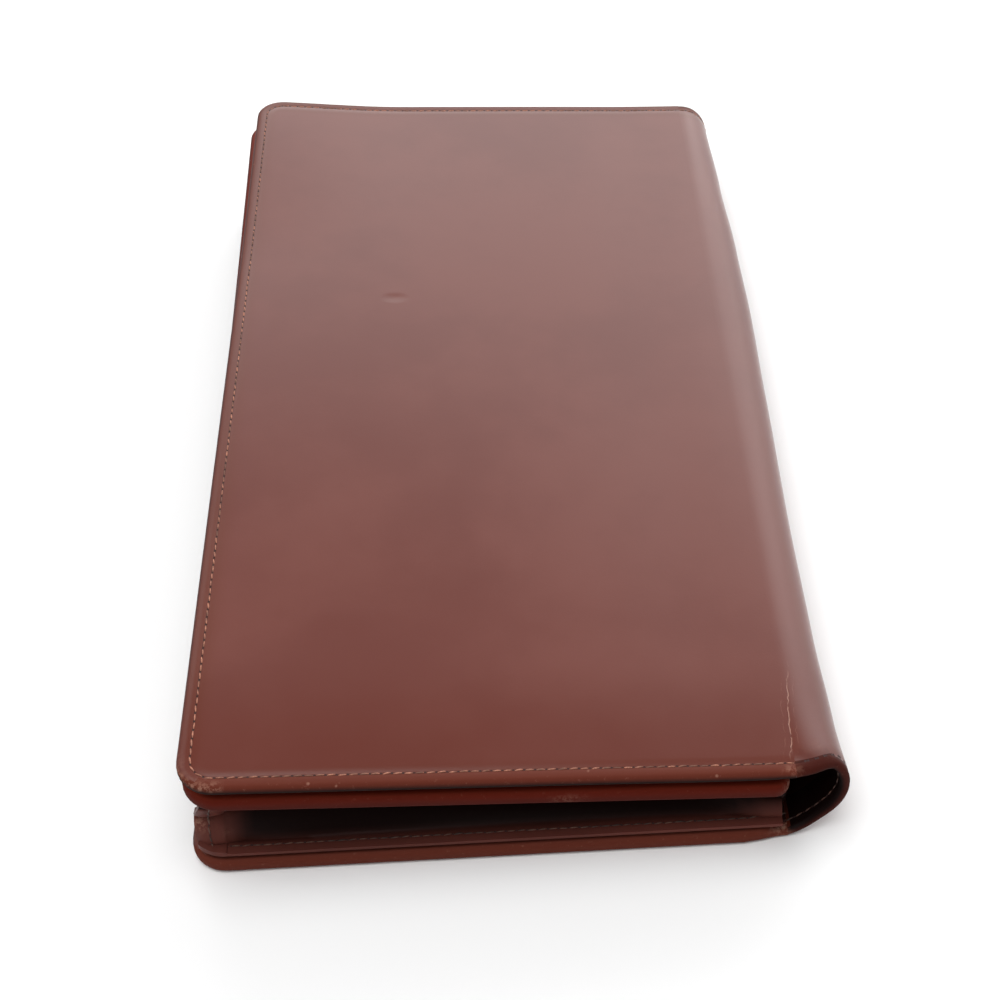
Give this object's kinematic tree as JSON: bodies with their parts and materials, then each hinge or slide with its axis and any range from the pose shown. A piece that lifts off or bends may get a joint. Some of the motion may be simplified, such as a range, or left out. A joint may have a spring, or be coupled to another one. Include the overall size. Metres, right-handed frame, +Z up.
{
  "type": "clutch wallet",
  "caption": "Fold-over leather clutch wallet with a rolled open spine, a hinged flap and a gusseted pocket leaf with turned, stitched edges.",
  "frame": {"origin": "on the surface that the closed wallet lies on, under the middle of its box", "axes": "+Y along the spine towards the far end, +X from the free edges towards the spine, +Z up out of the flap's face"},
  "size_m": [0.1421, 0.2601, 0.0317],
  "materials": {
    "cover_leather": "polished smooth reddish brown, rubbed paler at the corners",
    "leaf_leather": "polished smooth reddish brown",
    "gusset_leather": "smooth thin leather with soft folds",
    "lining_leather": "thin satin lining",
    "board": "dense grey-brown board"
  },
  "bodies": {
    "back": {"back_cover": "cover_leather", "back_board": "board", "back_lining": "lining_leather", "gusset_near": "gusset_leather", "gusset_far": "gusset_leather", "pocket_strip": "gusset_leather"},
    "spine": {"spine_cover": "cover_leather", "spine_lining": "lining_leather"},
    "flap": {"flap_cover": "cover_leather", "flap_board": "board", "flap_lining": "lining_leather"},
    "leaf": {"leaf_cover": "leaf_leather", "leaf_board": "board", "leaf_lining": "lining_leather"}
  },
  "joints": [
    {"name": "spine_hinge", "type": "hinge", "parent": "back", "child": "spine", "pos_m": [0.05975, 0, 0.00165], "axis": [0, 1, 0], "range_deg": [0, 90], "deforming": ["spine_cover", "spine_lining"]},
    {"name": "flap_hinge", "type": "hinge", "parent": "spine", "child": "flap", "pos_m": [0.05967, -0.00001, 0.02285], "axis": [0, 1, -0.0077], "range_deg": [0, 87.2]},
    {"name": "pocket_hinge", "type": "hinge", "parent": "back", "child": "leaf", "pos_m": [0.05825, 0, 0.00943], "axis": [0, -1, 0.0038], "range_deg": [0, 4.5], "deforming": ["gusset_near", "gusset_far", "pocket_strip"]}
  ],
  "couplings": [
    {"joint": "flap_hinge", "follows": "spine_hinge", "ratio": 0.96889}
  ]
}
